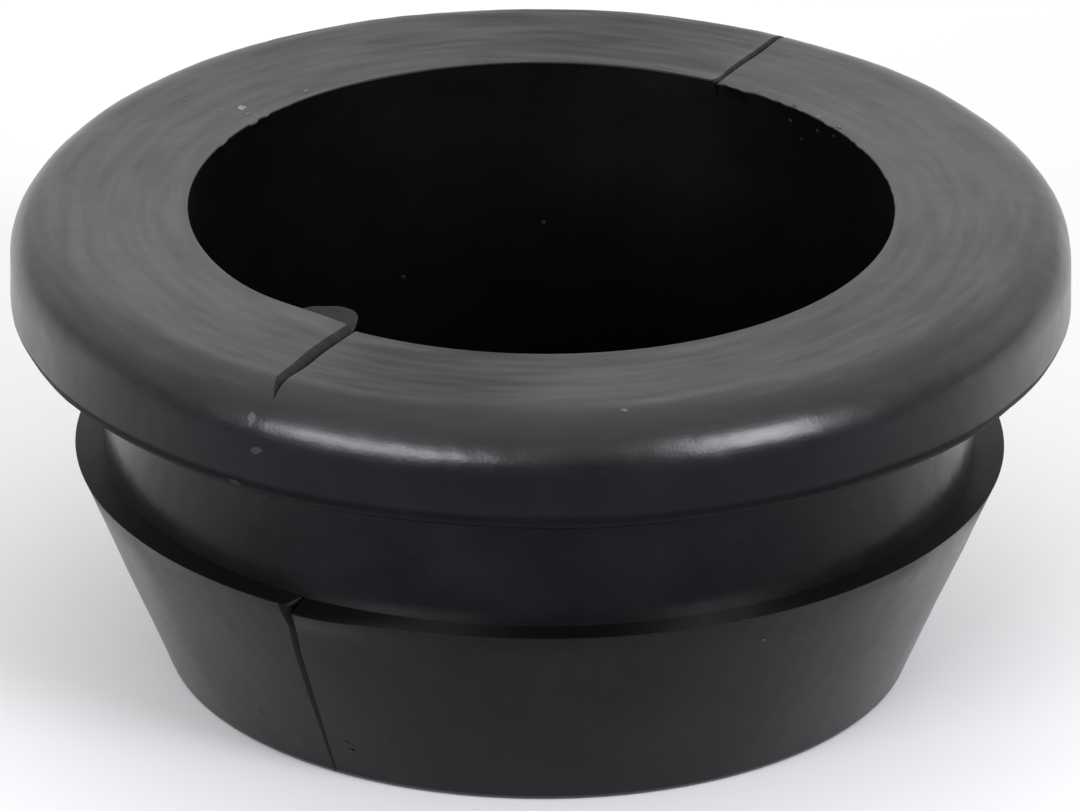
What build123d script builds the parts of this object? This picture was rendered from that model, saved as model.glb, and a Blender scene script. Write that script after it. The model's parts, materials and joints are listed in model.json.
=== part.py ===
from build123d import *
import os

# Split rubber grommet: two moulded half-rings that close round a cable or hose in a panel hole.
# The wide flange stays in front of the panel, the neck fills the hole, and the shoulder hooks
# behind it. The skirt tapers down to a thin foot, so that the ring can be pushed through.
# Frame: origin at the centre of the foot, on the bore axis, +Z towards the flange, in millimetres.
# The halves part on the YZ plane.

# Radial sizes, from the bore outwards
bore_diameter = 50.8
foot_wall = 1.6
neck_wall = 6.35
shoulder_lip = 2.15
flange_overhang = 6.75

# Heights, from the foot upwards
skirt_height = 16.2
groove_width = 10.0
flange_thickness = 8.6

# Roundings of the moulded section; its other corners lie on the mould's own edges and are sharp
flange_top_radius = 4.0
flange_under_radius = 1.6
sharp = 0

# Bevel that breaks the outer edge of the foot
foot_bevel = 0.4

# The halves stand this far apart at their flat parting faces, until the panel hole squeezes them shut
parting_gap = 0.2

bore_radius = bore_diameter / 2
foot_radius = bore_radius + foot_wall
neck_radius = bore_radius + neck_wall
shoulder_radius = neck_radius + shoulder_lip
flange_radius = neck_radius + flange_overhang
flange_underside = skirt_height + groove_width
height = flange_underside + flange_thickness
skirt_slope = (shoulder_radius - foot_radius) / skirt_height

# Section of the ring as corner and rounding: up the outside from the foot, then in over the flange
section = [
    ((bore_radius, 0), sharp),
    ((foot_radius - foot_bevel, 0), sharp),
    ((foot_radius + foot_bevel * skirt_slope, foot_bevel), sharp),
    ((shoulder_radius, skirt_height), sharp),
    ((neck_radius, skirt_height), sharp),
    ((neck_radius, flange_underside), sharp),
    ((flange_radius, flange_underside), flange_under_radius),
    ((flange_radius, height), flange_top_radius),
    ((bore_radius, height), sharp),
]
corners = [corner for corner, rounding in section]
roundings = [rounding for corner, rounding in section]

# One half as it leaves the mould, cut back to its parting face on the +X side of the YZ plane
with BuildPart() as right_half:
    with BuildSketch(Plane.YZ):
        with BuildLine():
            FilletPolyline(*corners, radius=roundings, close=True)
        make_face()
    revolve(axis=Axis.Z, revolution_arc=-180)
    split(bisect_by=Plane.YZ.offset(parting_gap / 2), keep=Keep.TOP)

# The other half is the same moulding, turned half a turn about the bore
with BuildPart() as left_half:
    add(right_half.part, rotation=(0, 0, 180))

os.makedirs("parts", exist_ok=True)
right_half.part.label = "right_half"
export_step(right_half.part, "parts/right_half.step")
left_half.part.label = "left_half"
export_step(left_half.part, "parts/left_half.step")
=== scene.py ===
"""Split grommet of moulded black rubber, standing on its foot on a white board.

Each half-ring is one section carried round the bore, from the parting face at the front to the one at
the rear. The section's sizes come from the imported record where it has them. All lengths are in metres,
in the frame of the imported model: the bore is on Z, the halves part near the YZ plane and the front seam
is at -Y.
"""
import json
import math

import bpy
import numpy as np
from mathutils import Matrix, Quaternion, Vector


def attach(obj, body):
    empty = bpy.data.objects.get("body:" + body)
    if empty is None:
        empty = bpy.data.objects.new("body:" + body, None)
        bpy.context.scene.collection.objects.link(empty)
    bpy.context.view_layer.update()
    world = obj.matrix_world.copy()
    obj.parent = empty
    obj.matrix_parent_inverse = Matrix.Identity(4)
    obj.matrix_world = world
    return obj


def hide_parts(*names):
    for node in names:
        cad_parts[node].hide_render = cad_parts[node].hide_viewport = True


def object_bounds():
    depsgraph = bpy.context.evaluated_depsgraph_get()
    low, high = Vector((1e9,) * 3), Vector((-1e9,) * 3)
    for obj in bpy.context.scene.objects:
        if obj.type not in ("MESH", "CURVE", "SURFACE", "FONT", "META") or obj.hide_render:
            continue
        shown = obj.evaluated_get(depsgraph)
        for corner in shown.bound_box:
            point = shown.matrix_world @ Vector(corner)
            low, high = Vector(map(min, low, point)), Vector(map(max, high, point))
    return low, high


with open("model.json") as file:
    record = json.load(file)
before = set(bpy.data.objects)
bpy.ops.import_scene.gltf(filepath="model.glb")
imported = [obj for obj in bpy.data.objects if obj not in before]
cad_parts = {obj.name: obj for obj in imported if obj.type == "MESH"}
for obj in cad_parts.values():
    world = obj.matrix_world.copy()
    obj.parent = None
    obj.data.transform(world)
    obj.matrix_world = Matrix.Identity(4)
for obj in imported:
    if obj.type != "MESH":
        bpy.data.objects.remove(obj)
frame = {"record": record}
cad_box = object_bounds()

MM = 0.001

# Angle of the front seam about Z, in degrees
FRONT_ANGLE = -90.0

# The photograph's frame and the camera that fits it
PHOTO_WIDTH = 1080
SENSOR_WIDTH = 36.0
FOCAL_PIXELS = 22738
VIEW_AZIMUTH = 31.0
VIEW_ELEVATION = 24.8
VIEW_ROLL = 0.39
VIEW_DISTANCE = 1.649
AIM_HEIGHT = 18.8 * MM

# Radial walls of the section; the bore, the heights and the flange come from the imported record
FOOT_WALL = 1.6 * MM
NECK_WALL = 6.35 * MM
SHOULDER_LIP = 2.15 * MM

# Roundings of the section's corners
FLANGE_TOP_ROUNDING = 4.0 * MM
FLANGE_UNDER_ROUNDING = 1.6 * MM
FOOT_ROUNDING = 0.5 * MM
SHOULDER_ROUNDING = 0.03 * MM
BORE_ROUNDING = 0.12 * MM
SHARP = 0

# Stations round the section: its corners, and the middle of the run after each
STATIONS = (
    "bore_foot", "foot_face", "foot", "skirt", "shoulder", "ledge", "crevice", "neck",
    "root", "underside", "wall_foot", "wall", "rim", "top", "bore_top", "bore",
)

# Grid of one half: spacing on straight runs and on roundings, the fewest steps on a rounding, and rings
# round the bore
SECTION_STEP = 0.55 * MM
ARC_STEP = 0.25 * MM
ARC_STEPS_LEAST = 4
RINGS = 330

# Extra points this close to every edge keep the shading of the flats beside it flat
EDGE_SUPPORT = 0.008 * MM
RING_SUPPORT_SHARE = 0.0002

# Smooth noise: how many waves it sums, the limits of their lengths as shares of the stated length, and a
# seed for each thing that it shapes
WAVE_COUNT = 28
WAVE_LENGTH_SHARES = (0.7, 1.5)
SEEDS = {"front": 11, "rear": 12, "swell": 21, "ripple": 22, "torn_edge": 31, "tongue": 41, "crumbs": 51}

# Where each seam lies, in millimetres by station, or by station and how far past it: its distance to
# the right of the YZ plane, half its gap, and the bevel that wear has left on the parting faces' edges
SEAM_PLACE = {
    "front": {"bore_foot": -0.6, "foot": -0.7, "skirt": -0.7, ("shoulder", -2.3): -0.55, "shoulder": -0.75,
              "neck": -0.4, "wall": -0.1, "rim": 0.1, "top": 0.1, "bore_top": -0.05, "bore": -0.3},
    "rear": {"foot": -0.5, "rim": -0.85, "top": -0.6, "bore_top": -0.5},
}
SEAM_HALF_GAP = {
    "front": {"foot": 0.001, "skirt": 0.001, ("shoulder", -2.3): 0.004, "shoulder": 0.10, "crevice": 0.001,
              "wall": 0.0005, ("rim", 1.0): 0.0005, "top": 0.01, "bore_top": 0.02, ("bore_top", 1.5): 0.001},
    "rear": {"foot": 0.002, ("shoulder", -2.3): 0.01, "shoulder": 0.06, "crevice": 0.001, "wall": 0.001,
             "rim": 0.02, "top": 0.03, "bore_top": 0.03, ("bore_top", 1.5): 0.001},
}
SEAM_WEAR = {
    ("left", "front"): {"bore_foot": 0.015, "foot": 0.20, "skirt": 0.52, ("shoulder", -2.3): 0.56,
                        "shoulder": 0.75, "crevice": 0.004, "wall": 0.002, ("rim", 0.3): 0.004,
                        ("rim", 2.5): 0.88, "top": 1.12, "bore_top": 1.08, ("bore_top", 1.5): 0.004},
    ("right", "front"): {"bore_foot": 0.015, "foot": 0.02, "skirt": 0.03, ("shoulder", -2.3): 0.08,
                         "shoulder": 0.45, "crevice": 0.004, "wall": 0.002, ("rim", 0.5): 0.004,
                         "top": 0.05, "bore_top": 0.06, ("bore_top", 1.5): 0.004},
    ("left", "rear"): {"bore_foot": 0.015, "foot": 0.05, "skirt": 0.25, "shoulder": 0.35, "crevice": 0.005,
                       "wall": 0.005, "rim": 0.36, "top": 0.42, "bore_top": 0.40, ("bore_top", 1.5): 0.005},
    ("right", "rear"): {"bore_foot": 0.015, "foot": 0.03, "skirt": 0.05, "shoulder": 0.25, "crevice": 0.005,
                        "wall": 0.005, "rim": 0.08, "top": 0.05, "bore_top": 0.06, ("bore_top", 1.5): 0.005},
}

# How far a seam wanders from its place, and over what length
SEAM_WANDER = 0.05 * MM
SEAM_WANDER_LENGTH = 6.0 * MM

# The bevel: rings over it, its power, where 1 is a quarter oval and 2 a straight cut, the width over which
# it turns at a corner of the section, and its depth as a share of its width, shallow on the skirt
SEAM_EDGE_STEPS = 8
SEAM_EDGE_POWER = 1.05
SEAM_TURN_WIDTH = 0.8 * MM
SEAM_SLOPE_SHARES = {"foot": 0.15, "skirt": 0.15, ("shoulder", -2.3): 0.4, "shoulder": 1.7, "bore": 1.7}

# Unevenness of the moulded skin, which lies a little inside the nominal surface, and the corners where it
# fades out
SKIN_DEPTH = 0.12 * MM
SKIN_SWELL = 0.025 * MM
SKIN_SWELL_LIMIT = 2 * SKIN_SWELL
SKIN_SWELL_LENGTH = 10.0 * MM
SKIN_RIPPLE = 0.005 * MM
SKIN_RIPPLE_LENGTH = 1.8 * MM
CRISP_CORNERS = ("bore_foot", "foot", "shoulder", "crevice", "root", "bore_top")
CRISP_WIDTH = 0.8 * MM

# The right half's shoulder has sunk beside the front seam
SHOULDER_DROP = 0.55 * MM
SHOULDER_DROP_WIDTH = 1.6 * MM
SHOULDER_DROP_LENGTH = 6.0 * MM

# Flash on the left half beside the rear seam: a low lip along the bore's edge with a hollow behind it, and
# a ridge along the seam over the flange's top
LIP_HEIGHT = 0.11 * MM
LIP_WIDTH = 0.5 * MM
LIP_REACH = 14.0 * MM
HOLLOW_OFFSET = 1.6 * MM
HOLLOW_WIDTH = 1.0 * MM
RIDGE_HEIGHT = 0.08 * MM
RIDGE_WIDTH = 0.6 * MM
RIDGE_REACH = 6.0 * MM

# Stretches of the bore's top edge where flash was torn off: half, seam, arc from it to the middle, reach
TORN_DEPTH = 0.15 * MM
TORN_WIDTH = 0.35 * MM
TORN_LENGTH = 1.4 * MM
TORN_STRETCHES = (("right", "rear", 2 * MM, 16 * MM), ("left", "front", 41 * MM, 4 * MM))

# Flash that bulges into the bore at the left half's top edge: arc from the front seam to its middle, its
# reach along the edge, how far it stands out, and how far along the section it fades
BULGE_ARC = 3.7 * MM
BULGE_REACH = 5.0 * MM
BULGE_DEPTH = 0.85 * MM
BULGE_WIDTH = 0.6 * MM

# The tongue of flash at the front seam: where it starts and ends, in degrees from that seam, its greatest
# and least width, how deep below the top and how far inside the wall its root lies, and its slope
TONGUE_START = -15.0
TONGUE_END = -1.0
TONGUE_WIDTH = 3.0 * MM
TONGUE_LEAST_WIDTH = 0.05 * MM
TONGUE_DEPTH = 0.5 * MM
TONGUE_ROOT = 0.4 * MM
TONGUE_RISE = 0.13

# Its thickness at the root, the share of that which is lost at the tip, the powers that say how soon it
# widens and how bluntly it ends, its waves and its grid
TONGUE_THICK = 0.30 * MM
TONGUE_THINNING_SHARE = 0.8
TONGUE_WIDENING_POWER = 3.5
TONGUE_BLUNT_POWER = 8
TONGUE_WAVE = 0.04 * MM
TONGUE_WAVE_LENGTH = 2.0 * MM
TONGUE_RINGS = 40
TONGUE_STEPS = 12

# Crumbs of rubber dust, and pale lumps at the front seam that are painted highlights: degrees from the
# front seam, the nearest station, how far past it along the section, length, width and height in
# millimetres, and the share of talc, which makes them pale
CRUMBS_AND_GLINTS = (
    (-97.0, "bore_top", -2.2, 0.95, 0.75, 0.09, 1.00),
    (-95.6, "bore_top", -1.2, 0.50, 0.45, 0.08, 0.50),
    (-94.2, "bore_top", -3.3, 0.50, 0.40, 0.07, 0.40),
    (-108.4, "bore_top", -1.0, 0.65, 0.55, 0.09, 0.50),
    (-94.2, "bore_top", -6.4, 0.45, 0.40, 0.07, 0.40),
    (40.8, "rim", 2.2, 0.60, 0.40, 0.09, 0.40),
    (75.2, "bore_top", -0.7, 0.45, 0.40, 0.08, 0.40),
    # These three, on the front seam's rim and the flange's lower edge, are painted highlights: their pale
    # grey stands for light caught there
    (-1.5, "rim", -1.4, 0.90, 1.20, 0.22, 0.24),
    (-0.7, "rim", -3.6, 1.30, 0.80, 0.10, 0.05),
    (-3.4, "wall_foot", 0.4, 1.80, 0.60, 0.06, 0.00),
    (60.6, "shoulder", -2.7, 0.50, 0.35, 0.12, 0.10),
    (67.8, "shoulder", -13.3, 0.45, 0.35, 0.12, 0.08),
    (-13.4, "shoulder", -13.4, 0.60, 0.35, 0.12, 0.06),
    (-11.4, "shoulder", -15.3, 0.45, 0.35, 0.12, 0.06),
    (2.0, "shoulder", -13.8, 0.50, 0.35, 0.12, 0.05),
    (2.6, "shoulder", -14.5, 0.45, 0.35, 0.12, 0.05),
    (-125.6, "bore_top", 16.3, 0.45, 0.40, 0.12, 0.00),
    (-149.4, "bore_top", 12.8, 0.40, 0.40, 0.12, 0.00),
    (173.8, "bore_top", -0.4, 0.60, 0.35, 0.08, 0.35),
    (169.4, "bore_top", -0.3, 0.50, 0.30, 0.08, 0.40),
    (165.6, "bore_top", -0.3, 0.45, 0.30, 0.08, 0.35),
    (159.8, "bore_top", -0.3, 0.40, 0.45, 0.08, 0.60),
    (154.6, "bore_top", -0.4, 0.70, 0.35, 0.08, 0.45),
    (165.8, "bore_top", 1.1, 0.40, 0.25, 0.08, 0.00),
    (163.0, "bore_top", 2.2, 0.25, 0.25, 0.08, 0.00),
    (159.0, "bore_top", 0.9, 0.35, 0.20, 0.08, 0.00),
    (154.6, "bore_top", 0.6, 0.30, 0.20, 0.08, 0.00),
)

# A crumb is a lumpy ball: its rings, points on a ring, and latitude of its end rings as a share of half a
# turn; then the height of its lumps, and their length and limits on a ball of unit radius
CRUMB_RINGS = 8
CRUMB_POINTS = 12
CRUMB_POLE_SHARE = 0.45
CRUMB_ROUGHNESS = 0.18
CRUMB_LUMP_LENGTH = 1.6
CRUMB_LUMP_LIMITS = (-1.5, 1.0)

# Order of a half's finishes, and the finish that starts at each of these places on the section; the rubbed
# and worn ones are darker copies that carry painted shade
MOULDED, RUBBED_AND_SHADED, WORN_AND_SHADED = range(3)
FINISH_FROM = {
    ("shoulder", -0.06): RUBBED_AND_SHADED, ("crevice", 0.004): MOULDED, ("root", -0.01): RUBBED_AND_SHADED,
    ("wall_foot", -0.35): WORN_AND_SHADED, ("wall_foot", 0.7): MOULDED, "bore_top": RUBBED_AND_SHADED,
}

# The finishes in that order: colour of the bloomed patches, roughness and specular level; the rubbed and worn
# copies are darker in colour and sheen, painted shade in the ledge, the flange's underside and lower edge,
# the bore and the seams' bevels
FINISHES = {
    "moulded_black_rubber": ("#131316", 0.25, 0.5),
    "rubbed_black_rubber": ("#060607", 0.36, 0.18),
    "worn_black_rubber": ("#0c0c0e", 0.5, 0.25),
}
CARBON_BLACK = "#050506"
RUBBER_IOR = 1.55

# Bloom, grain and mould marks: their sizes, how much duller the bloom is, how deep the relief is, and the
# marks' share beside the grain; the grain of real rubber is finer, and is drawn coarser so that it shows
BLOOM_PATCH = 6.0 * MM
BLOOM_DULNESS = 0.06
GRAIN_WIDTH = 0.28 * MM
MARK_WIDTH = 0.35 * MM
MARK_LENGTH = 9.0 * MM
MARK_SHARE = 0.7
RELIEF_DEPTH = 0.009 * MM

# Dust film on the flange's top: its share all round, then patches that are thicker, or rubbed bare where
# negative, as middle and reach in degrees from the front seam and share
FILM_LEVEL = -0.15
FILM_PATCHES = ((-55.0, 45.0, 0.9), (145.0, 45.0, 1.0), (17.0, 16.0, -1.0), (-160.0, 28.0, -0.8))

# Its colour, its streaks, and how much duller the rubber is where it was rubbed bare
FILM_GREY = "#343434"
SMEAR_SHARE = 0.55
SMEAR_WIDTH = 1.0 * MM
SMEAR_LENGTH = 8.0 * MM
BARE_DULNESS = 0.25

# Crumbs: colours of ground rubber and of talc, which also paint the highlights at the front seam, roughness,
# specular level, and size of their speckles
CRUMB_AND_GLINT_GREY = "#242426"
TALC_AND_GLINT_WHITE = "#b4b4b4"
CRUMB_DULNESS = 0.85
CRUMB_SHEEN = 0.2
DUST_WIDTH = 0.15 * MM

# Limits that a noise texture mostly keeps to, and its octaves in soft patterns and in fine ones
NOISE_LOW = 0.3
NOISE_HIGH = 0.7
SOFT_DETAIL = 4.0
FINE_DETAIL = 2.0

# Tent: azimuth right of the camera and elevation of its brightest place, the cosines of the angle from
# there between which it brightens, and its strength at those
TENT_COLOUR = "#ffffff"
TENT_BRIGHTEST = (180, 66)
TENT_COSINES = (-0.4, 1.0)
TENT_STRENGTHS = (0.05, 1.2)

# Softboxes: azimuth right of the camera, elevation, distance, width and height in metres, power in watts
LAMP_COLOUR = "#fbf6ff"
SOFTBOXES = {
    "softbox_left": (-34.5, 17.5, 0.6, 0.42, 0.16, 2.4),
    "softbox_right": (46.5, 25, 0.6, 0.22, 0.25, 2.2),
    "side_panel": (112, 22, 0.8, 0.5, 0.4, 0.25),
}

# White board under the object, and a dark card inside the bore, painted shade that only reflections see; a
# disc has a pinhole in its middle
FLOOR_RADIUS = 3.0
FLOOR_COLOUR = "#f2f2f2"
BORE_SHADE_RADIUS = 26 * MM
BORE_SHADE_COLOUR = "#404042"
BOARD_DULNESS = 0.9
PINHOLE = 0.1 * MM
DISC_POINTS = 96

# Graded cards of painted shade round the object, seen only in reflections, which the skirt, the flange's
# lower edge, the groove and the flange's wall mirror: inner and outer radius, pale from here back, dark
# from there on towards the camera, those two colours, and how fast the pale one gives way
PAINTED_SHADE_CARDS = {
    "card_for_skirt": (BORE_SHADE_RADIUS, 40 * MM, 0 * MM, 48 * MM, "#f2f2f2", "#3e3c44", 1.0),
    "card_for_edge": (40 * MM, 56 * MM, -42 * MM, 25 * MM, "#d0d0d0", "#58565e", 1.0),
    "card_for_groove": (56 * MM, 80 * MM, -28 * MM, 85 * MM, "#f2f2f2", "#3a3940", 3.0),
    "card_for_wall": (80 * MM, 2.5, -30 * MM, 105 * MM, "#f4f4f4", "#605e68", 1.7),
}
CARD_LIFT = 0.4 * MM


def srgb(text):
    """Linear colour of an sRGB hex value."""
    parts = np.array([int(text[i:i + 2], 16) for i in (1, 3, 5)]) / 255
    low = parts / 12.92
    high = ((parts + 0.055) / 1.055) ** 2.4
    return (*np.where(parts <= 0.04045, low, high).tolist(), 1.0)


def add_node(tree, kind, inputs=None, **settings):
    """A node of that kind with its settings; inputs maps a socket to a value or to an output."""
    made = tree.nodes.new(kind)
    for name, value in settings.items():
        setattr(made, name, value)
    for socket, value in (inputs or {}).items():
        if isinstance(value, bpy.types.NodeSocket):
            tree.links.new(value, made.inputs[socket])
        else:
            made.inputs[socket].default_value = value
    return made


def waves(points, length, seed):
    """Smooth noise of about unit size: plane waves of about that length, in random directions, summed."""
    draw = np.random.default_rng(seed)
    direction = draw.normal(size=(WAVE_COUNT, 3))
    direction /= np.linalg.norm(direction, axis=1)[:, None]
    numbers = 2 * np.pi / (length * draw.uniform(*WAVE_LENGTH_SHARES, WAVE_COUNT))
    phase = draw.uniform(0, 2 * np.pi, WAVE_COUNT)
    swing = np.cos(points @ (direction * numbers[:, None]).T + phase)
    return swing.sum(axis=-1) / math.sqrt(WAVE_COUNT / 2)


def hump(distance, width):
    """Smooth bump that is one at zero distance and fades over the width."""
    return np.exp(-(distance / width) ** 2)


def shorter_way(gap, whole):
    """A signed gap on a closed path of that whole length, taken the shorter way round."""
    return (gap + whole / 2) % whole - whole / 2


def straight_run(start, end):
    """Points between two ends, about a step apart, with one close to each end."""
    length = np.linalg.norm(end - start)
    inner = np.linspace(0, 1, max(1, round(length / SECTION_STEP)) + 1)[1:-1]
    close = EDGE_SUPPORT / length
    share = np.concatenate([[close], inner, [1 - close]])[:, None]
    return start + share * (end - start)


def rounded_outline(corners, roundings):
    """Closed outline through the corners, each replaced by a tangent arc.

    A sharp corner stays one point. Returns the points, and the index of the middle one at each corner.
    """
    corners = np.array(corners, float)
    count = len(corners)
    arcs = []
    for k in range(count):
        here = corners[k]
        if roundings[k] == SHARP:
            arcs.append(here[None])
            continue
        to_last = corners[k - 1] - here
        to_next = corners[(k + 1) % count] - here
        to_last /= np.linalg.norm(to_last)
        to_next /= np.linalg.norm(to_next)
        half_angle = math.acos(np.clip(to_last @ to_next, -1, 1)) / 2
        tangent = roundings[k] / math.tan(half_angle)
        bisector = (to_last + to_next) / np.linalg.norm(to_last + to_next)
        centre = here + bisector * roundings[k] / math.sin(half_angle)
        start = here + to_last * tangent - centre
        end = here + to_next * tangent - centre
        turn = math.atan2(start[0] * end[1] - start[1] * end[0], start @ end)
        steps = max(ARC_STEPS_LEAST, math.ceil(abs(turn) * roundings[k] / ARC_STEP))
        angle = turn * np.linspace(0, 1, steps + 1)[:, None]
        side = np.array([-start[1], start[0]])
        arcs.append(centre + np.cos(angle) * start + np.sin(angle) * side)
    runs = []
    middles = []
    total = 0
    for k in range(count):
        run = straight_run(arcs[k][-1], arcs[(k + 1) % count][0])
        middles.append(total + len(arcs[k]) // 2)
        runs += [arcs[k], run]
        total += len(arcs[k]) + len(run)
    return np.concatenate(runs), middles


class Section:
    """The ring's section as radius and height, with its normals, path length and stations.

    The skin's depth is taken off every face but the foot's, so the corners stay where faces meet.
    """

    def __init__(self):
        mounts = {mount["name"]: mount for mount in frame["record"]["mounts"]}
        bore = mounts["cable_bore"]["dims"]["r_mm"] * MM
        shoulder_height = mounts["shoulder_seat"]["pos_m"][2]
        slope = (NECK_WALL + SHOULDER_LIP - FOOT_WALL) / shoulder_height
        foot = bore + FOOT_WALL - SKIN_DEPTH * math.hypot(1, slope)
        ledge = shoulder_height - SKIN_DEPTH
        neck = bore + NECK_WALL - SKIN_DEPTH
        underside = mounts["panel_seat"]["pos_m"][2] + SKIN_DEPTH
        flange = cad_box[1].y - SKIN_DEPTH
        self.bore = bore + SKIN_DEPTH
        self.top = cad_box[1].z - SKIN_DEPTH
        corners = [
            ((self.bore, 0), BORE_ROUNDING),
            ((foot, 0), FOOT_ROUNDING),
            ((foot + slope * ledge, ledge), SHOULDER_ROUNDING),
            ((neck, ledge), SHARP),
            ((neck, underside), SHARP),
            ((flange, underside), FLANGE_UNDER_ROUNDING),
            ((flange, self.top), FLANGE_TOP_ROUNDING),
            ((self.bore, self.top), BORE_ROUNDING),
        ]
        outline, middles = rounded_outline([c for c, r in corners], [r for c, r in corners])
        self.radius = outline[:, 0]
        self.height = outline[:, 1]
        along = np.roll(outline, -1, axis=0) - np.roll(outline, 1, axis=0)
        across = np.stack([along[:, 1], -along[:, 0]], axis=1)
        self.normal = across / np.linalg.norm(across, axis=1)[:, None]
        steps = np.linalg.norm(np.roll(outline, -1, axis=0) - outline, axis=1)
        self.path = np.concatenate([[0], np.cumsum(steps)[:-1]])
        self.length = steps.sum()
        places = self.path[middles]
        ends = np.append(places[1:], places[0] + self.length)
        self.stations = dict(zip(STATIONS, np.stack([places, (places + ends) / 2], axis=1).ravel()))

    def place(self, station):
        """Path length at a station, or at a station and how far past it in millimetres."""
        name, past = (station, 0) if isinstance(station, str) else station
        return self.stations[name] + past * MM

    def spread(self, sizes):
        """A size at every point of the section, straight between the places that the table names."""
        places = [self.place(station) for station in sizes]
        return np.interp(self.path, places, [size * MM for size in sizes.values()], period=self.length)

    def past(self, station):
        """How far every point lies past a station, along the section, the shorter way round."""
        return shorter_way(self.path - self.stations[station], self.length)

    def at(self, place):
        """Radius, height and normal at a place on the section's path."""
        values = (self.radius, self.height, self.normal[:, 0], self.normal[:, 1])
        return [np.interp(place, self.path, value, period=self.length) for value in values]

    def softened_normal(self, width):
        """Normals averaged over about that width, for an inset that doesn't fold at a corner."""
        gap = np.abs(self.path[:, None] - self.path)
        weight = hump(np.minimum(gap, self.length - gap), width)
        soft = weight @ self.normal
        return soft / np.linalg.norm(soft, axis=1)[:, None]


section = Section()


def round_the_bore(radius, height, angle):
    """Points at that radius and height, at an angle about Z in radians."""
    radius, height, angle = np.broadcast_arrays(radius, height, angle)
    return np.stack([radius * np.cos(angle), radius * np.sin(angle), height], axis=-1)


def parting_edge(side, seam):
    """Rings over the worn edge of a half's parting face, over which the section shrinks.

    The bevel is a superellipse, between a quarter oval and a straight cut. Returns the distance of the
    first ring from the YZ plane, and the rings as radius, height and distance, out to the face.
    """
    wear = section.spread(SEAM_WEAR[side, seam])
    on_path = np.stack([section.radius, section.height, np.zeros_like(section.path)], axis=-1)
    wander = SEAM_WANDER * waves(on_path, SEAM_WANDER_LENGTH, SEEDS[seam])
    place = section.spread(SEAM_PLACE[seam]) + wander
    face = section.spread(SEAM_HALF_GAP[seam]) + (place if side == "right" else -place)
    turn = np.linspace(0, np.pi / 2, SEAM_EDGE_STEPS + 1)[1:, None]
    slope = section.spread(SEAM_SLOPE_SHARES) / MM
    inset = slope * wear * (1 - np.cos(turn).clip(0) ** SEAM_EDGE_POWER)
    outward = section.softened_normal(SEAM_TURN_WIDTH)
    radius = section.radius - inset * outward[:, 0]
    height = section.height - inset * outward[:, 1]
    return face + wear, (radius, height, face + wear * (1 - np.sin(turn) ** SEAM_EDGE_POWER))


def half_ring(side):
    """Grid of one half as it would lie at +X: the section carried round between its parting faces.

    A ring stands at a share of the angle to the parting face's worn edge, whose own rings follow.
    Returns the points and each point's arc from either seam.
    """
    first_seam, last_seam = ("front", "rear") if side == "right" else ("rear", "front")
    first_start, first = parting_edge(side, first_seam)
    last_start, last = parting_edge(side, last_seam)
    even = np.linspace(0, 1, RINGS)[1:-1]
    share = np.concatenate([[0, RING_SUPPORT_SHARE], even, [1 - RING_SUPPORT_SHARE, 1]])[:, None]
    angle_first = -np.arccos(first_start / section.radius)
    angle_last = np.arccos(last_start / section.radius)
    middle = round_the_bore(section.radius, section.height, angle_first + share * (angle_last - angle_first))
    first_rings = np.stack([first[2], -np.sqrt(first[0] ** 2 - first[2] ** 2), first[1]], axis=-1)
    last_rings = np.stack([last[2], np.sqrt(last[0] ** 2 - last[2] ** 2), last[1]], axis=-1)
    points = np.concatenate([first_rings[::-1], middle, last_rings])
    turned = np.arctan2(points[..., 1], points[..., 0])
    arcs = {
        first_seam: (turned + np.pi / 2) * section.radius,
        last_seam: (np.pi / 2 - turned) * section.radius,
    }
    return points, arcs


def skin_rise(points):
    """How far the moulded skin stands off its mean surface: long swells and short ripples.

    Both fade out at the sharp corners of the section.
    """
    swell = SKIN_SWELL * waves(points, SKIN_SWELL_LENGTH, SEEDS["swell"])
    ripple = SKIN_RIPPLE * waves(points, SKIN_RIPPLE_LENGTH, SEEDS["ripple"])
    fade = np.prod([1 - hump(section.past(corner), CRISP_WIDTH) for corner in CRISP_CORNERS], axis=0)
    return (swell.clip(-SKIN_SWELL_LIMIT, SKIN_SWELL_LIMIT) + ripple) * fade


def shoulder_drop(arcs):
    """Lift of the right half beside the front seam: a sunken hump across the shoulder that fades along it."""
    across = hump(section.past("shoulder"), SHOULDER_DROP_WIDTH)
    return -SHOULDER_DROP * across * hump(arcs["front"], SHOULDER_DROP_LENGTH)


def flash_lip(arcs):
    """Lift of the left half beside the rear seam, from what flash has left on its flange.

    A lip stands at the bore's edge with a hollow behind it, and a ridge runs along the seam.
    """
    past = section.past("bore_top")
    lip = hump(past, LIP_WIDTH) - hump(past + HOLLOW_OFFSET, HOLLOW_WIDTH)
    on_top = hump(section.past("top"), RIDGE_REACH)
    ridge = on_top * hump(arcs["rear"] - RIDGE_WIDTH, RIDGE_WIDTH)
    return LIP_HEIGHT * lip * hump(arcs["rear"], LIP_REACH) + RIDGE_HEIGHT * ridge


def torn_edge(points, arcs, side):
    """How far flash stands into the bore at its top edge.

    Torn flash is the upper half of short waves, and beside the left half's front seam it is one long hump.
    """
    past = section.past("bore_top")
    nibbles = waves(points * [1, 1, 0], TORN_LENGTH, SEEDS["torn_edge"]).clip(0) * hump(past, TORN_WIDTH)
    reach = np.zeros_like(nibbles)
    for torn_side, seam, middle, length in TORN_STRETCHES:
        if torn_side == side:
            reach += hump(arcs[seam] - middle, length)
    torn = TORN_DEPTH * nibbles * reach
    if side == "left":
        torn += BULGE_DEPTH * hump(past, BULGE_WIDTH) * hump(arcs["front"] - BULGE_ARC, BULGE_REACH)
    return torn


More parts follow.
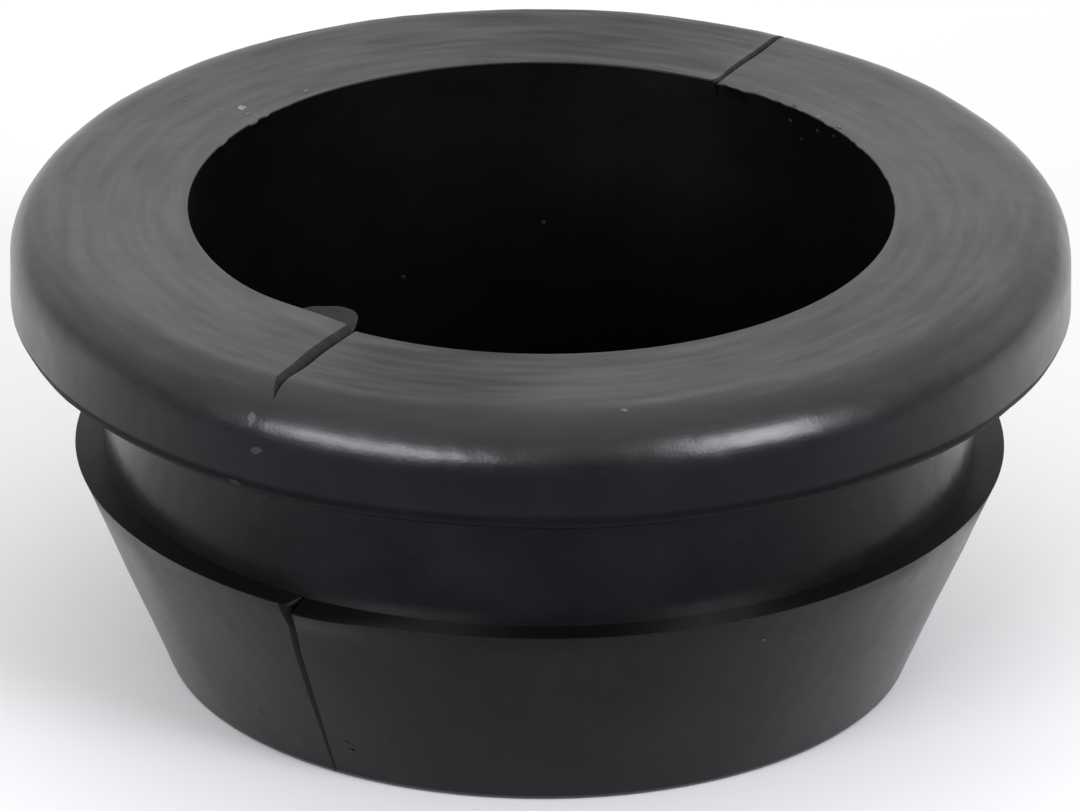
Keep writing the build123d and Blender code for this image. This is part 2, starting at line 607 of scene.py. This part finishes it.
def dust_film(around):
    """Share of the dust film at every point of a half, and how far the point is part of the flange's top.

    The share is a sum of humps round the bore, thick where positive and rubbed bare where negative.
    """
    on_top = section.normal[:, 1].clip(0) ** 2 * (section.height > section.top - FLANGE_TOP_ROUNDING)
    from_front = np.degrees(around) - FRONT_ANGLE
    share = FILM_LEVEL + sum(
        amount * hump(shorter_way(from_front - middle, 360), reach) for middle, reach, amount in FILM_PATCHES
    )
    return np.stack([share * on_top, np.broadcast_to(on_top, around.shape), 0 * around], axis=-1)


def half_grid(side):
    """Points of one half in place, where each lies along the section and round the bore, and its dust.

    The half-ring is moved along its normals by the skin's rise, into the bore by flash, and up or down by
    what has sunk or stands up beside a seam.
    """
    points, arcs = half_ring(side)
    if side == "left":
        points = points * [-1, -1, 1]
    around = np.arctan2(points[..., 1], points[..., 0])
    flat_out = round_the_bore(1.0, 0.0, around)
    normal = round_the_bore(section.normal[:, 0], section.normal[:, 1], around)
    moved = points + normal * skin_rise(points)[..., None]
    moved -= flat_out * torn_edge(points, arcs, side)[..., None]
    moved[..., 2] += shoulder_drop(arcs) if side == "right" else flash_lip(arcs)
    moved[..., 2] = moved[..., 2].clip(0, cad_box[1].z)
    lay = np.stack([np.broadcast_to(section.path, around.shape), arcs["front"], 0 * around], axis=-1)
    return moved, lay, dust_film(around)


def flash_tongue():
    """Tongue of flash in the left half's bore at the front seam: a thin flap that curls up to the edge.

    Along the edge it widens from nothing and ends bluntly at the seam. Each section across it is a
    wedge: in along its lower side from the tip, and back along its upper side.
    """
    along = np.linspace(0, 1, TONGUE_RINGS)[:, None]
    widened = 1 - (1 - along) ** TONGUE_WIDENING_POWER
    ended = 1 - along ** TONGUE_BLUNT_POWER
    width = TONGUE_WIDTH * widened * ended + TONGUE_LEAST_WIDTH
    out = np.linspace(0, 1, TONGUE_STEPS)
    across = np.concatenate([out[::-1], out])
    thick = np.concatenate([TONGUE_THICK * (1 - TONGUE_THINNING_SHARE * out[::-1]), 0 * out])
    angle = np.radians(FRONT_ANGLE + TONGUE_START + along * (TONGUE_END - TONGUE_START))
    reach = (TONGUE_ROOT + width) * across
    radius = section.bore + TONGUE_ROOT - reach
    height = section.top - TONGUE_DEPTH + TONGUE_RISE * reach - thick
    points = round_the_bore(radius, height, angle)
    points[..., 2] += TONGUE_WAVE * waves(points, TONGUE_WAVE_LENGTH, SEEDS["tongue"]) * across
    return points, points[..., [1, 0, 2]], 0 * points


def closed_tube_faces(rings, points):
    """Quads between neighbouring rings of a closed section, and one face over each end."""
    index = np.arange(rings * points).reshape(rings, points)
    here = index[:-1]
    after = index[1:]
    quads = np.stack(
        [here, after, np.roll(after, -1, axis=1), np.roll(here, -1, axis=1)], axis=-1
    ).reshape(-1, 4)
    return quads.tolist() + [index[0].tolist(), index[-1, ::-1].tolist()]


def new_piece(name, shells, *materials):
    """A mesh object at the origin, of shells given as points and faces, smooth but for its end faces."""
    points = []
    faces = []
    for shell_points, shell_faces in shells:
        offset = sum(len(p) for p in points)
        points.append(shell_points.reshape(-1, 3))
        faces += [[offset + corner for corner in face] for face in shell_faces]
    mesh = bpy.data.meshes.new(name)
    mesh.from_pydata(np.concatenate(points).tolist(), [], faces)
    mesh.polygons.foreach_set("use_smooth", [len(face) <= 4 for face in faces])
    for material in materials:
        mesh.materials.append(material)
    mesh.update()
    piece = bpy.data.objects.new(name, mesh)
    bpy.context.scene.collection.objects.link(piece)
    return piece


def rubber(name, bloom_and_shade_colour, dulness, sheen):
    """Carbon-black rubber as it leaves a steel mould: near black, with a satin sheen.

    The turned steel leaves faint rings round the bore and a fine grain, and wax that blooms to the
    surface makes cloudy patches that are a little greyer and duller. Dust lies on the flange in grey
    streaks, with duller rubber between them. Rubber that is rubbed or worn has lost the sheen; those
    copies are also darker in colour and specular level, which paints shade into the recesses, the
    flange's lower edge and the seams' bevels.
    """
    material = bpy.data.materials.new(name)
    material.use_nodes = True
    tree = material.node_tree
    shader = tree.nodes["Principled BSDF"]
    place = add_node(tree, "ShaderNodeTexCoord").outputs["Object"]
    lay = add_node(tree, "ShaderNodeAttribute", attribute_name="lay").outputs["Vector"]
    film = add_node(tree, "ShaderNodeAttribute", attribute_name="film").outputs["Vector"]

    # Bloom on the rubber, and painted shade in the darker colour of the rubbed and worn copies
    bloom = add_node(
        tree, "ShaderNodeTexNoise", {"Vector": place, "Scale": 1 / BLOOM_PATCH, "Detail": SOFT_DETAIL}
    )
    colour = add_node(
        tree, "ShaderNodeMix",
        {"Factor": bloom.outputs["Fac"], "A": srgb(CARBON_BLACK), "B": srgb(bloom_and_shade_colour)}, data_type="RGBA",
    )
    gloss = add_node(
        tree, "ShaderNodeMapRange",
        {"Value": bloom.outputs["Fac"], "From Min": NOISE_LOW, "From Max": NOISE_HIGH,
         "To Min": dulness, "To Max": dulness + BLOOM_DULNESS},
    )

    # Dust in streaks, thick where the film's share is high and rubbed bare where it is below zero
    smear = add_node(
        tree, "ShaderNodeMapping", {"Vector": lay, "Scale": (1 / SMEAR_WIDTH, 1 / SMEAR_LENGTH, 1.0)}
    )
    streaks = add_node(
        tree, "ShaderNodeTexNoise", {"Vector": smear.outputs["Vector"], "Scale": 1.0, "Detail": SOFT_DETAIL}
    )
    streak_share = add_node(
        tree, "ShaderNodeMapRange",
        {"Value": streaks.outputs["Fac"], "From Min": NOISE_LOW, "From Max": NOISE_HIGH,
         "To Min": -SMEAR_SHARE, "To Max": SMEAR_SHARE},
    )
    parts = add_node(tree, "ShaderNodeSeparateXYZ", {"Vector": film})
    dust = add_node(
        tree, "ShaderNodeMath",
        {0: streak_share.outputs["Result"], 1: parts.outputs["Y"], 2: parts.outputs["X"]},
        operation="MULTIPLY_ADD",
    ).outputs["Value"]
    covered = add_node(tree, "ShaderNodeClamp", {"Value": dust})
    bare = add_node(tree, "ShaderNodeMath", {0: dust, 1: -BARE_DULNESS}, operation="MULTIPLY", use_clamp=True)
    dusted = add_node(
        tree, "ShaderNodeMix",
        {"Factor": covered.outputs["Result"], "A": colour.outputs["Result"], "B": srgb(FILM_GREY)},
        data_type="RGBA",
    )
    roughness = add_node(tree, "ShaderNodeMath", {0: gloss.outputs["Result"], 1: bare.outputs["Value"]})

    # Relief of the mould's marks and grain
    grain = add_node(
        tree, "ShaderNodeTexNoise", {"Vector": place, "Scale": 1 / GRAIN_WIDTH, "Detail": FINE_DETAIL}
    )
    stretch = add_node(
        tree, "ShaderNodeMapping", {"Vector": lay, "Scale": (1 / MARK_WIDTH, 1 / MARK_LENGTH, 1.0)}
    )
    marks = add_node(
        tree, "ShaderNodeTexNoise", {"Vector": stretch.outputs["Vector"], "Scale": 1.0, "Detail": FINE_DETAIL}
    )
    relief = add_node(
        tree, "ShaderNodeMath",
        {0: marks.outputs["Fac"], 1: MARK_SHARE, 2: grain.outputs["Fac"]}, operation="MULTIPLY_ADD",
    )
    bump = add_node(
        tree, "ShaderNodeBump",
        {"Strength": 1.0, "Distance": RELIEF_DEPTH, "Height": relief.outputs["Value"]},
    )

    tree.links.new(dusted.outputs["Result"], shader.inputs["Base Color"])
    tree.links.new(roughness.outputs["Value"], shader.inputs["Roughness"])
    tree.links.new(bump.outputs["Normal"], shader.inputs["Normal"])
    shader.inputs["IOR"].default_value = RUBBER_IOR
    shader.inputs["Specular IOR Level"].default_value = sheen
    return material


def rubber_dust():
    """Ground rubber and talc from trimming: matt grey crumbs, paler where the talc is thick. The lumps at the
    front seam use the same grey as a painted highlight.
    """
    material = bpy.data.materials.new("talc_and_rubber_dust")
    material.use_nodes = True
    tree = material.node_tree
    shader = tree.nodes["Principled BSDF"]
    place = add_node(tree, "ShaderNodeTexCoord").outputs["Object"]
    talc = add_node(tree, "ShaderNodeAttribute", attribute_name="talc").outputs["Fac"]
    speckle = add_node(
        tree, "ShaderNodeTexNoise", {"Vector": place, "Scale": 1 / DUST_WIDTH, "Detail": FINE_DETAIL}
    )
    share = add_node(tree, "ShaderNodeMath", {0: speckle.outputs["Fac"], 1: talc}, operation="MULTIPLY")
    colour = add_node(
        tree, "ShaderNodeMix",
        {"Factor": share.outputs["Value"], "A": srgb(CRUMB_AND_GLINT_GREY), "B": srgb(TALC_AND_GLINT_WHITE)}, data_type="RGBA",
    )
    tree.links.new(colour.outputs["Result"], shader.inputs["Base Color"])
    shader.inputs["Roughness"].default_value = CRUMB_DULNESS
    shader.inputs["Specular IOR Level"].default_value = CRUMB_SHEEN
    return material


def mark_points(piece, name, values):
    """Keeps a number or a vector at each point of a piece, for its material to read."""
    kind, field = ("FLOAT_VECTOR", "vector") if values.ndim == 2 else ("FLOAT", "value")
    piece.data.attributes.new(name, kind, "POINT").data.foreach_set(field, values.ravel())


def face_finishes(rings):
    """Finish of each face of a half: moulded, rubbed, or worn.

    Panel and cable rub the ledge, the flange's underside and the bore, and the halves rub each other.
    The flange's lower edge and the edges of the parting faces are worn. Both finishes are darker copies of
    the moulded one, which paint shade on those faces.
    """
    places = [section.place(station) for station in FINISH_FROM]
    finishes = np.array([MOULDED, *FINISH_FROM.values()])
    along = finishes[np.searchsorted(places, section.path, side="right")]
    strips = np.tile(along, (rings - 1, 1))
    strips[:SEAM_EDGE_STEPS] = np.where(along == RUBBED_AND_SHADED, RUBBED_AND_SHADED, WORN_AND_SHADED)
    strips[-SEAM_EDGE_STEPS:] = strips[:SEAM_EDGE_STEPS]
    return np.concatenate([strips.ravel(), [RUBBED_AND_SHADED, RUBBED_AND_SHADED]])


def build_halves():
    """The two halves, the left one with its tongue of flash, torn off at its edge."""
    finishes = [rubber(name, *look) for name, look in FINISHES.items()]
    for side in ("right", "left"):
        grids = [half_grid(side)]
        if side == "left":
            grids.append(flash_tongue())
        shells = [(points, closed_tube_faces(*points.shape[:2])) for points, lay, film in grids]
        piece = new_piece(side + "_half_rubber", shells, *finishes)
        finish = np.full(len(piece.data.polygons), WORN_AND_SHADED)
        finish[:len(shells[0][1])] = face_finishes(len(grids[0][0]))
        piece.data.polygons.foreach_set("material_index", finish)
        mark_points(piece, "lay", np.concatenate([lay.reshape(-1, 3) for points, lay, film in grids]))
        mark_points(piece, "film", np.concatenate([film.reshape(-1, 3) for points, lay, film in grids]))
        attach(piece, "root")
        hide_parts(side + "_half")


def crumb_shells():
    """Crumbs on the skin: lumpy flattened balls, each turned to lie on the surface under it.

    A ball is a grid of latitude and longitude whose radius short waves vary.
    """
    angle = np.radians([FRONT_ANGLE + row[0] for row in CRUMBS_AND_GLINTS])
    place = np.array([section.place(row[1:3]) for row in CRUMBS_AND_GLINTS])
    size = np.array([row[3:6] for row in CRUMBS_AND_GLINTS]) * MM
    radius, height, out, up = section.at(place)
    normal = round_the_bore(out, up, angle)
    around = round_the_bore(1.0, 0.0, angle + np.pi / 2)
    across = np.cross(normal, around)
    centre = round_the_bore(radius, height, angle)
    latitude = np.linspace(-CRUMB_POLE_SHARE, CRUMB_POLE_SHARE, CRUMB_RINGS)[:, None] * np.pi
    longitude = np.linspace(0, 2 * np.pi, CRUMB_POINTS, endpoint=False)
    ball = round_the_bore(np.cos(latitude), np.sin(latitude), longitude)
    shells = []
    for k in range(len(CRUMBS_AND_GLINTS)):
        lumps = waves(ball, CRUMB_LUMP_LENGTH, SEEDS["crumbs"] + k).clip(*CRUMB_LUMP_LIMITS)
        lumpy = ball * (1 + CRUMB_ROUGHNESS * lumps)[..., None]
        axes = np.stack([around[k] * size[k, 0] / 2, across[k] * size[k, 1] / 2, normal[k] * size[k, 2]])
        shells.append((centre[k] + lumpy @ axes / (1 + CRUMB_ROUGHNESS), closed_tube_faces(*ball.shape[:2])))
    return shells


def scatter_crumbs_and_glints():
    """The crumbs, and the painted highlights at the front seam, as one piece."""
    shells = crumb_shells()
    piece = new_piece("dust_crumbs", shells, rubber_dust())
    mark_points(piece, "talc", np.repeat([row[6] for row in CRUMBS_AND_GLINTS], shells[0][0].size // 3))
    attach(piece, "root")


def towards(azimuth, elevation):
    """Unit vector from the object to a point at that azimuth, right of the camera, and elevation."""
    around = math.radians(VIEW_AZIMUTH + azimuth)
    above = math.radians(elevation)
    flat = math.cos(above)
    return Vector((math.sin(around) * flat, -math.cos(around) * flat, math.sin(above)))


def place_camera():
    """Camera at the photograph's viewing angle, aimed at a point on the bore axis."""
    lens = bpy.data.cameras.new("camera")
    lens.sensor_width = SENSOR_WIDTH
    lens.lens = FOCAL_PIXELS / PHOTO_WIDTH * SENSOR_WIDTH
    camera = bpy.data.objects.new("camera", lens)
    back = towards(0, VIEW_ELEVATION)
    camera.location = Vector((0, 0, AIM_HEIGHT)) + back * VIEW_DISTANCE
    camera.rotation_mode = "QUATERNION"
    roll = Quaternion((0, 0, 1), math.radians(VIEW_ROLL))
    camera.rotation_quaternion = (-back).to_track_quat("-Z", "Y") @ roll
    bpy.context.scene.collection.objects.link(camera)
    bpy.context.scene.camera = camera


def add_softbox(name, azimuth, elevation, distance, width, height, power):
    """Rectangular lamp that faces the object."""
    lamp = bpy.data.lights.new(name, "AREA")
    lamp.shape = "RECTANGLE"
    lamp.size = width
    lamp.size_y = height
    lamp.energy = power
    lamp.color = srgb(LAMP_COLOUR)[:3]
    box = bpy.data.objects.new(name, lamp)
    out = towards(azimuth, elevation)
    box.location = Vector((0, 0, AIM_HEIGHT)) + out * distance
    box.rotation_mode = "QUATERNION"
    box.rotation_quaternion = out.to_track_quat("Z", "Y")
    box.visible_camera = False
    bpy.context.scene.collection.objects.link(box)


def light_studio():
    """A tent of white cloth that is brightest above and behind, two softboxes and a weak panel."""
    world = bpy.data.worlds.new("tent")
    bpy.context.scene.world = world
    world.use_nodes = True
    tree = world.node_tree
    brightest = towards(*TENT_BRIGHTEST)
    way = add_node(tree, "ShaderNodeTexCoord")
    facing = add_node(
        tree, "ShaderNodeVectorMath", {0: way.outputs["Generated"], 1: brightest}, operation="DOT_PRODUCT"
    )
    level = add_node(
        tree, "ShaderNodeMapRange",
        {"Value": facing.outputs["Value"], "From Min": TENT_COSINES[0], "From Max": TENT_COSINES[1],
         "To Min": TENT_STRENGTHS[0], "To Max": TENT_STRENGTHS[1]},
    )
    tree.links.new(level.outputs["Result"], tree.nodes["Background"].inputs["Strength"])
    tree.nodes["Background"].inputs["Color"].default_value = srgb(TENT_COLOUR)
    for name, sizes in SOFTBOXES.items():
        add_softbox(name, *sizes)


def board_material(name, colour):
    """Matt card or board: an even colour with no gloss."""
    board = bpy.data.materials.new(name)
    board.use_nodes = True
    shader = board.node_tree.nodes["Principled BSDF"]
    shader.inputs["Base Color"].default_value = srgb(colour)
    shader.inputs["Roughness"].default_value = BOARD_DULNESS
    shader.inputs["Specular IOR Level"].default_value = 0
    return board


def painted_shade_card(name, pale_at, dark_at, pale, dark, falloff):
    """Matt card of painted shade that only reflections see: pale behind the object, and darker grey towards
    the camera.
    """
    card = board_material(name, pale)
    tree = card.node_tree
    place = add_node(tree, "ShaderNodeTexCoord")
    nearness = add_node(
        tree, "ShaderNodeVectorMath", {0: place.outputs["Object"], 1: towards(0, 0)}, operation="DOT_PRODUCT"
    )
    level = add_node(
        tree, "ShaderNodeMapRange",
        {"Value": nearness.outputs["Value"], "From Min": dark_at, "From Max": pale_at},
    )
    paleness = add_node(tree, "ShaderNodeMath", {0: level.outputs["Result"], 1: falloff}, operation="POWER")
    shade = add_node(
        tree, "ShaderNodeMix",
        {"Factor": paleness.outputs["Value"], "A": srgb(dark), "B": srgb(pale)}, data_type="RGBA",
    )
    tree.links.new(shade.outputs["Result"], tree.nodes["Principled BSDF"].inputs["Base Color"])
    return card


def disc(inner, outer, height):
    """Flat ring as points and faces: two circles and the quads between them."""
    turn = np.linspace(0, 2 * np.pi, DISC_POINTS, endpoint=False)
    circle = np.stack([np.cos(turn), np.sin(turn), np.zeros_like(turn)], axis=-1)
    index = np.arange(len(turn))
    after = np.roll(index, -1)
    faces = np.stack([index, index + len(turn), after + len(turn), after], axis=-1)
    return np.stack([circle * inner, circle * outer]) + [0, 0, height], faces.tolist()


def lay_floor():
    """White board under the object, and cards on it that only reflections see.

    They are painted shade, darker towards the camera and near the object, which the rubber mirrors in place
    of the white board.
    """
    board = disc(PINHOLE, FLOOR_RADIUS, 0)
    floor = new_piece("floor", [board], board_material("matt_white_board", FLOOR_COLOUR))
    # Painted shade inside the bore, seen only in reflections
    inside = disc(PINHOLE, BORE_SHADE_RADIUS, CARD_LIFT)
    cards = [new_piece("card_in_bore", [inside], board_material("dark_card", BORE_SHADE_COLOUR))]
    for name, (inner, outer, *shading) in PAINTED_SHADE_CARDS.items():
        cards.append(new_piece(name, [disc(inner, outer, CARD_LIFT)], painted_shade_card(name, *shading)))
    # Painted shade cards: reflections see them, camera, diffuse light and shadows do not
    for card in cards:
        card.visible_camera = False
        card.visible_diffuse = False
        card.visible_shadow = False


place_camera()
build_halves()
scatter_crumbs_and_glints()
lay_floor()
light_studio()
bpy.context.scene.view_settings.view_transform = "Standard"
